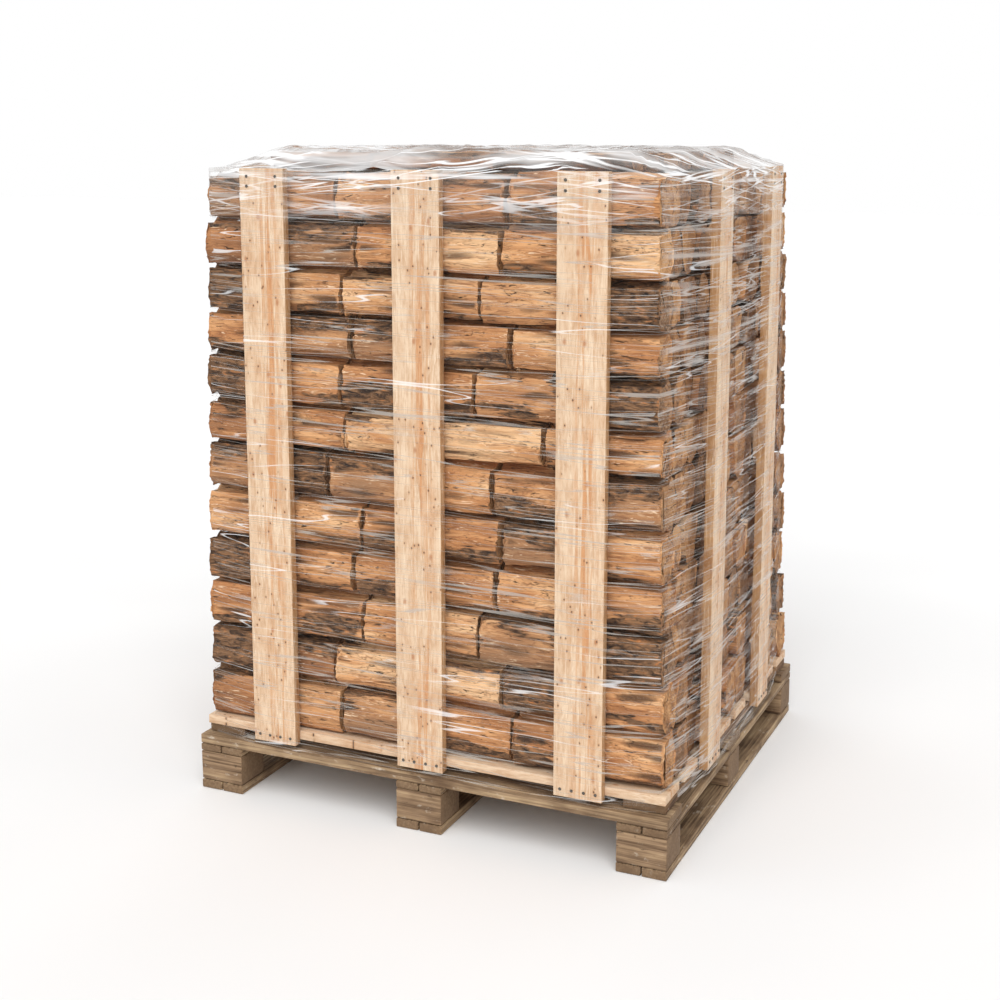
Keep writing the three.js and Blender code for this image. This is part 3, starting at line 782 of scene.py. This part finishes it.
# A log's skin, from coarse to fine: each relief's name, kind of noise, size, stretch, depth and level
LOG_RELIEFS = [
    ("uneven_sides", "CLOUDS", 0.060, (2.5, 1, 1), 0.009, 0.6),
    ("split_facets", "VORONOI", 0.036, (6, 1, 1), 0.007, 0.8),
    ("torn_ridges", "MUSGRAVE", 0.016, (8, 1, 1), 0.003, 1.0),
]


def model_blank(outline, materials, cuts, slant=0.0):
    """A log of the usual size with this end outline, cut into faces small enough for its torn skin.

    The slant is how much shorter the near side is at the right end.
    """
    cuts_along, face_cuts, other_cuts = cuts
    points = outline["points"]
    bpy.ops.mesh.primitive_cylinder_add(vertices=len(points), radius=1, depth=LOG_LENGTH,
                                        rotation=(0, math.pi / 2, 0))
    blank = bpy.context.object
    bpy.ops.object.transform_apply(location=True, rotation=True, scale=True)
    mesh = blank.data
    whole_turn = 2 * math.pi
    angles = [math.atan2(-vertex.co.y, vertex.co.z) % whole_turn for vertex in mesh.vertices]
    first = min(angles)
    places = []
    for vertex, angle in zip(mesh.vertices, angles):
        y, z = points[round((angle - first) / whole_turn * len(points)) % len(points)]
        shorter = slant * (0.5 - y) if vertex.co.x > 0 else 0.0
        places.append((vertex.co.x - shorter, y * LOG_WIDTH, z * LOG_HEIGHT))
    for index, place in enumerate(places):
        move_corner(blank, index, place)
    cut_edges(blank, lambda edge: abs(edge_vector(mesh, edge).x) > 0.9 * LOG_LENGTH, cuts_along)

    def goes_round(edge):
        way = edge_vector(mesh, edge)
        return abs(way.x) < 0.5 * way.length

    def on_face(edge):
        near = edge_middle(mesh, edge).y < -0.29 * LOG_WIDTH
        return near and abs(edge_vector(mesh, edge).z) > LEAST_FACE_EDGE

    if face_cuts:
        cut_edges(blank, lambda edge: goes_round(edge) and on_face(edge), face_cuts)
    if other_cuts:
        cut_edges(blank, lambda edge: goes_round(edge) and edge_vector(mesh, edge).length > LEAST_EDGE,
                  other_cuts, smoothness=0.4)
    for material in materials:
        mesh.materials.append(material)
    # The end faces have the second material but for a rim 2 mm wide, and are a millimetre hollow
    pick(blank, "FACE", lambda face: abs(face.normal.x) > 0.9)
    bpy.ops.mesh.inset(thickness=0.002, depth=0.0)
    blank.active_material_index = 1
    bpy.ops.object.material_slot_assign()
    bpy.ops.mesh.inset(thickness=0.012, depth=-0.001)
    leave_edit()
    pith = Vector((0, outline["pith"][0] * LOG_WIDTH, outline["pith"][1] * LOG_HEIGHT))
    map_flat(mesh, "rings", pith, 1, 2)
    # The torn relief is full along the log and a little less at its sawn ends
    at_ends = {index for face in mesh.polygons if abs(face.normal.x) > 0.9 for index in face.vertices}
    skin = blank.vertex_groups.new(name="skin")
    for vertex in mesh.vertices:
        skin.add([vertex.index], 0.8 if vertex.index in at_ends else 1.0, "REPLACE")
    return blank


def lay_log(blank, low, high, turned_over, swapped, looks, tilt=0.0, yaw=0.0):
    """A copy of a blank, fitted between two corners, so that it stays between them when it leans.

    Looks are the tone, grey and bark of its left end, and of its right end.
    """
    log = blank.copy()
    log.data = blank.data.copy()
    mesh = log.data
    bpy.context.scene.collection.objects.link(log)
    size = high - low
    wide = size.y - abs(yaw) * size.x
    tall = size.z - abs(tilt) * size.x
    fit = Matrix.Diagonal((size.x / LOG_LENGTH, wide / LOG_WIDTH, tall / LOG_HEIGHT, 1))
    turn = Matrix.Identity(4)
    if turned_over:
        turn = Matrix.Rotation(math.pi, 4, "X") @ turn
    if swapped:
        turn = Matrix.Rotation(math.pi, 4, "Z") @ turn
    lean = Matrix.Rotation(tilt, 4, "Y") @ Matrix.Rotation(yaw, 4, "Z")
    mesh.transform(Matrix.Translation((low + high) / 2) @ lean @ fit @ turn)
    places = point_places(mesh)
    along = numpy.clip((places[:, 0] - low.x) / size.x, 0, 1)
    level = numpy.clip((places[:, 2] - low.z) / size.z, 0, 1)
    rightward = numpy.clip((along - 0.35) / 0.3, 0, 1)
    tone, grey, bark = (left + (right - left) * rightward for left, right in zip(*looks))
    # Painted shade: the tone is darker towards the underside, where less light falls
    tone = tone + 1.7 * numpy.clip(0.28 - level, 0, 1)
    rind = numpy.where(bark > 0, bark - (1 - level), -bark - level)
    for name, values in (("tone", tone), ("grey", grey), ("rind", rind)):
        mesh.attributes.new(name, "FLOAT", "POINT").data.foreach_set("value", values)
    return log


def random_look(dice, bark_share):
    """A log's tone, grey and bark. About a third of all logs are greyed, and this share is mostly in bark."""
    tone = dice.uniform(0.1, 0.75)
    grey = dice.uniform(0.0, 0.7) if dice.random() < 0.35 else dice.uniform(0.0, 0.15)
    bark = dice.uniform(0.8, 1.3) if dice.random() < bark_share else dice.uniform(-0.5, 0.4)
    return tone, grey, bark


def lay_bed(dice, blanks, low, high, rows, joints_of, settle, front_looks=None):
    """Rows of three logs, end to end along X, side by side from the front to the back.

    Blanks holds the kinds of log for open faces, if the bed has any, and for the ends and the middle of
    hidden rows.
    """
    pitch = (high.y - low.y) / rows
    lines = [low.y + index * pitch for index in range(rows + 1)]
    for index in range(1, rows):
        lines[index] += dice.uniform(-ROW_SCATTER, ROW_SCATTER)
    logs = []
    for row in range(rows):
        at_face = "face" in blanks and row in (0, rows - 1)
        gap = FACE_JOINT_GAP if at_face else HIDDEN_JOINT_GAP
        least, most = (0, FACE_END_SCATTER) if at_face else (INNER_SET_BACK, END_SCATTER)
        joints = joints_of(row)
        starts = [low.x + dice.uniform(least, most), joints[0] + gap / 2, joints[1] + gap / 2]
        stops = [joints[0] - gap / 2, joints[1] - gap / 2, high.x - dice.uniform(least, most)]
        for column in range(3):
            set_back = dice.uniform(FACE_SET_BACK_LEAST, FACE_SET_BACK_MOST) if at_face else 0
            near = lines[row] + (set_back if row == 0 else 0)
            far = lines[row + 1] - (set_back if row == rows - 1 else 0)
            corner = Vector((starts[column], near, low.z - settle))
            other = Vector((stops[column], far, high.z + settle - dice.uniform(0, LOG_DROP)))
            look = random_look(dice, HIDDEN_BARK_SHARE)
            looks = (look, look)
            if at_face and row == 0 and front_looks:
                looks = [LOOKS[word] for word in front_looks[column]]
            if at_face:
                # A log in the back row is turned round, so that its near side shows at the back
                log = lay_log(dice.choice(blanks["face"]), corner, other, False, row > 0, looks,
                              dice.uniform(-LOG_TILT, LOG_TILT), dice.uniform(-LOG_YAW, LOG_YAW))
            else:
                blank = dice.choice(blanks["middle" if column == 1 else "end"])
                log = lay_log(blank, corner, other, (row + column) % 2 == 0, dice.random() < 0.5, looks)
            logs.append(log)
    return logs


def carve(piece, reliefs):
    """Gives a bed of logs its torn skin, and keeps how deep it is cut below the first relief, from 0 to 1."""
    broad, *torn = reliefs
    add_relief(piece, *broad)
    before = point_places(piece.data)
    for relief in torn:
        add_relief(piece, *relief)
    moved = numpy.linalg.norm(point_places(piece.data) - before, axis=1)
    deepest = numpy.percentile(moved, 99)
    # The cut depth is kept as a mask for painted shade in the hollows
    hollow_shade = piece.data.attributes.new("hollow_shade", "FLOAT", "POINT")
    hollow_shade.data.foreach_set("value", numpy.clip(moved / deepest, 0, 1))


def layer_joints(dice, layer):
    """Where the log ends of each row meet in a layer: as listed for the front row, at random for the rest."""
    back = dice.uniform(-BACK_JOINT_MOST, -BACK_JOINT_LEAST), dice.uniform(BACK_JOINT_LEAST, BACK_JOINT_MOST)
    joints = [[side * HIDDEN_JOINT + dice.uniform(-JOINT_SCATTER, JOINT_SCATTER) for side in (-1, 1)]
              for _ in range(ROW_COUNT)]
    joints[0] = FRONT_JOINTS[layer]
    joints[-1] = back
    return joints


def heap_joints(row):
    shift = HEAP_JOINT_SHIFT if row % 2 else -HEAP_JOINT_SHIFT
    return shift - HEAP_JOINT, shift + HEAP_JOINT


def model_layer(layer, blanks):
    node = f"log_layer_{layer + 1:02d}"
    dice = random.Random(FIRST_LAYER_SEED + layer)
    low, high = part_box(node)
    joints = layer_joints(dice, layer)
    bed = join(lay_bed(dice, blanks, low, high, ROW_COUNT, lambda row: joints[row], LOG_SETTLE,
                       FRONT_LOOKS[layer]))
    carve(bed, LOG_RELIEFS)
    smooth(bed, 32)
    finish_piece(bed, f"firewood_layer_{layer + 1:02d}", [node])


def model_heap(blanks):
    """The loose logs on top."""
    low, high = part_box("loose_top_logs")
    heap = join(lay_bed(random.Random(HEAP_SEED), blanks, low, high, HEAP_ROWS, heap_joints, HEAP_SETTLE))
    carve(heap, LOG_RELIEFS)
    smooth(heap, 40)
    finish_piece(heap, "firewood_loose_top", ["loose_top_logs"])


def model_firewood():
    materials = [make_torn_firewood(), make_sawn_end()]
    face = [model_blank(outline, materials, FACE_LOG_CUTS, slant)
            for outline, slant in zip(FACE_OUTLINES, LOG_END_SLANTS)]
    end, middle, top = ([model_blank(outline, materials, cuts) for outline in INNER_OUTLINES]
                        for cuts in (END_LOG_CUTS, MIDDLE_LOG_CUTS, TOP_LOG_CUTS))
    for layer in range(LAYER_COUNT - 1):
        model_layer(layer, {"face": face, "end": end, "middle": middle})
    # The highest layer and the loose logs show from above
    model_layer(LAYER_COUNT - 1, {"face": face, "end": top, "middle": top})
    model_heap({"end": top, "middle": top})
    for blank in face + end + middle + top:
        bpy.data.objects.remove(blank)


# Film

def film_line(height):
    """The line of the taut film at this height, seen from above, from the front face's left slat round."""
    front_left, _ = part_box("slat_front_left")
    _, front_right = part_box("slat_front_right")
    side_front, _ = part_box("slat_right_face_front")
    _, side_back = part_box("slat_right_face_back")
    # At the corners it lies against the log ends, and these reach a little less far out the higher they are
    _, low_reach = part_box("log_layer_01")
    top_layer, high_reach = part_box("log_layer_12")
    corner_x = low_reach.x + (high_reach.x - low_reach.x) * height / top_layer.z - FILM_CORNER_IN
    corner_y = low_reach.y - FILM_CORNER_IN
    return [
        (front_left.x, -FILM_OUT_Y), (front_right.x, -FILM_OUT_Y), (corner_x, -corner_y),
        (FILM_OUT_X, side_front.y), (FILM_OUT_X, side_back.y), (corner_x, corner_y),
        (front_right.x, FILM_OUT_Y), (front_left.x, FILM_OUT_Y), (-corner_x, corner_y),
        (-FILM_OUT_X, side_back.y), (-FILM_OUT_X, side_front.y), (-corner_x, -corner_y),
    ]


def write_wrap_map(mesh):
    """A map in metres: how far round the load a point is, and how high. Gives the whole way round."""
    corners = film_line((FILM_LOW + FILM_HIGH) / 2)
    sides = [(Vector(first), Vector(second)) for first, second in zip(corners, corners[1:] + corners[:1])]
    whole = sum((end - start).length for start, end in sides)

    def distance_round(place):
        best, found, walked = 1.0, 0.0, 0.0
        for start, end in sides:
            side = end - start
            share = min(1.0, max(0.0, (place - start).dot(side) / side.length_squared))
            away = (start + side * share - place).length
            if away < best - 1e-6:
                best, found = away, walked + share * side.length
            walked += side.length
        return found

    rounds = [distance_round(vertex.co.xy) for vertex in mesh.vertices]
    run = mesh.uv_layers.new(name="wrap")
    for face in mesh.polygons:
        furthest = max(rounds[index] for index in face.vertices)
        for loop, index in zip(face.loop_indices, face.vertices):
            # The last faces before the start keep their far edge at the end of the run
            back_at_start = furthest - rounds[index] > whole / 2
            run.data[loop].uv = (rounds[index] + (whole if back_at_start else 0.0), mesh.vertices[index].co.z)
    return whole


def draw_ring(line, height):
    """A ring through these points, seen from above, at this height."""
    bpy.ops.mesh.primitive_circle_add(vertices=len(line), radius=1, fill_type="NOTHING",
                                      location=(0, 0, height))
    ring = bpy.context.object
    bpy.ops.object.transform_apply(location=True, rotation=True, scale=True)
    for index, (x, y) in enumerate(line):
        move_corner(ring, index, (x, y, height))
    return ring


def finish_film(sheet, material, name, node):
    sheet.data.materials.append(material)
    smooth(sheet, 60)
    # The film is too clear to cast a shadow that shows
    sheet.visible_shadow = False
    sheet.visible_diffuse = False
    finish_piece(sheet, name, [node])


def model_film_wrap(material):
    """The film round the sides: a ring at its foot, drawn up to the line at its top, cut fine and creased."""
    low_line = film_line(FILM_LOW)
    high_line = film_line(FILM_HIGH)
    height = FILM_HIGH - FILM_LOW
    wrap = draw_ring(low_line, FILM_LOW)
    mesh = wrap.data
    pick(wrap, "EDGE", lambda edge: True)
    bpy.ops.mesh.extrude_edges_move(TRANSFORM_OT_translate={"value": (0, 0, height)})
    leave_edit()
    high_places = {}
    for vertex in mesh.vertices:
        if vertex.co.z > FILM_LOW + 0.1:
            nearest = min(zip(low_line, high_line), key=lambda pair: (Vector(pair[0]) - vertex.co.xy).length)
            high_places[vertex.index] = (*nearest[1], FILM_HIGH)
    for index, place in high_places.items():
        move_corner(wrap, index, place)
    cut_edges(wrap, lambda edge: abs(edge_vector(mesh, edge).z) > 0.5, round(height / FILM_ROW))
    # Round the load, the long edges are cut first and then those of middle length
    for longest, length in ((0.5, 0.9), (0.1, 0.25)):
        cut_edges(wrap, lambda edge: abs(edge_vector(mesh, edge).z) < 0.002
                  and edge_vector(mesh, edge).length > longest, round(length / FILM_COLUMN))
    pick(wrap, "FACE", lambda face: True)
    bpy.ops.mesh.normals_make_consistent(inside=False)
    leave_edit()
    whole_way_round = write_wrap_map(mesh)
    add_relief(wrap, "pulled_creases", "MUSGRAVE", 0.014, (22, 22, 1), 0.0008, 1.0)
    finish_film(wrap, material, "stretch_film_wrap", "film_wrap")


def cover_rise(share):
    """How much of its rise the cover has made at this share of the way in from its rim."""
    return min(1.0, share / COVER_SLOPE_SHARE) ** COVER_RISE_POWER


def model_film_cover(material):
    """The sheet over the top: rings drawn in from the film's line, risen over the heap and crumpled."""
    rim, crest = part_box("film_cover")
    line = [(x * COVER_RIM_SHARE, y * COVER_RIM_SHARE) for x, y in film_line(FILM_HIGH)]
    cover = draw_ring(line, rim.z)
    mesh = cover.data
    # The long edges are cut first, and then those of middle length
    for longest, cuts in ((0.5, 7), (0.1, 3)):
        cut_edges(cover, lambda edge: edge_vector(mesh, edge).length > longest, cuts)
    pick(cover, "EDGE", lambda edge: True)
    bpy.ops.mesh.subdivide(number_cuts=1)
    share = 1.0
    for ring in range(COVER_RINGS):
        next_share = 1.0 - (ring + 1) / (COVER_RINGS + 1)
        rise = (crest.z - rim.z) * COVER_RISE_SHARE * (cover_rise(1 - next_share) - cover_rise(1 - share))
        bpy.ops.mesh.extrude_edges_move(TRANSFORM_OT_translate={"value": (0, 0, rise)})
        ratio = next_share / share
        bpy.ops.transform.resize(value=(ratio, ratio, 1), center_override=(0, 0, 0))
        share = next_share
    bpy.ops.mesh.edge_face_add()
    bpy.ops.mesh.select_all(action="SELECT")
    bpy.ops.mesh.normals_make_consistent(inside=False)
    leave_edit()
    map_flat(mesh, "wrap", Vector((0, 0, 0)), 0, 1)
    add_relief(cover, "broad_crumples", "MUSGRAVE", 0.16, (1.6, 1, 1), 0.009, 1.0)
    add_relief(cover, "small_crumples", "MUSGRAVE", 0.05, (2.0, 1, 1), 0.004, 1.0)
    finish_film(cover, material, "stretch_film_cover", "film_cover")


def model_film():
    model_film_wrap(make_wrapped_film())
    model_film_cover(make_crumpled_film())


# Stage

def make_stage():
    bpy.ops.mesh.primitive_plane_add(size=60, location=(0, 0, 0))
    floor = bpy.context.object
    floor.name = "studio_floor"
    material, add = new_material("matt_painted_floor")
    colour = add("ValToRGB", [grain(add, 0, 900, 900, 1.0)], stops=[(0.3, "#f4f4f4"), (0.7, "#f8f8f8")])
    add_surface(add, {"Base Color": colour, "Roughness": 0.9})
    floor.data.materials.append(material)
    # A room that is white all round at eye height and a little darker overhead
    world = bpy.data.worlds.new("studio")
    bpy.context.scene.world = world
    world.use_nodes = True
    world.node_tree.nodes.clear()
    add = partial(add_node, world.node_tree)
    upward = add("SeparateXYZ", [add("TexCoord", output="Generated")], output="Z")
    room = add("MapRange", [upward, 0.2, 0.5, 1.0, 0.62])
    add("OutputWorld", {"Surface": add("Background", {"Color": "#ffffff", "Strength": room})})
    # One wide, soft lamp over the front, a little to the right
    data = bpy.data.lights.new("overhead_softbox", "SUN")
    data.angle = math.radians(50)
    data.energy = 1.9
    lamp = bpy.data.objects.new("overhead_softbox", data)
    lamp.rotation_euler = Vector((-0.2, 0.62, -0.76)).to_track_quat("-Z", "Y").to_euler()
    bpy.context.scene.collection.objects.link(lamp)
    bpy.context.scene.view_settings.view_transform = "Standard"


model_pallet()
model_crate()
model_firewood()
model_film()
make_stage()

bpy.context.view_layer.update()
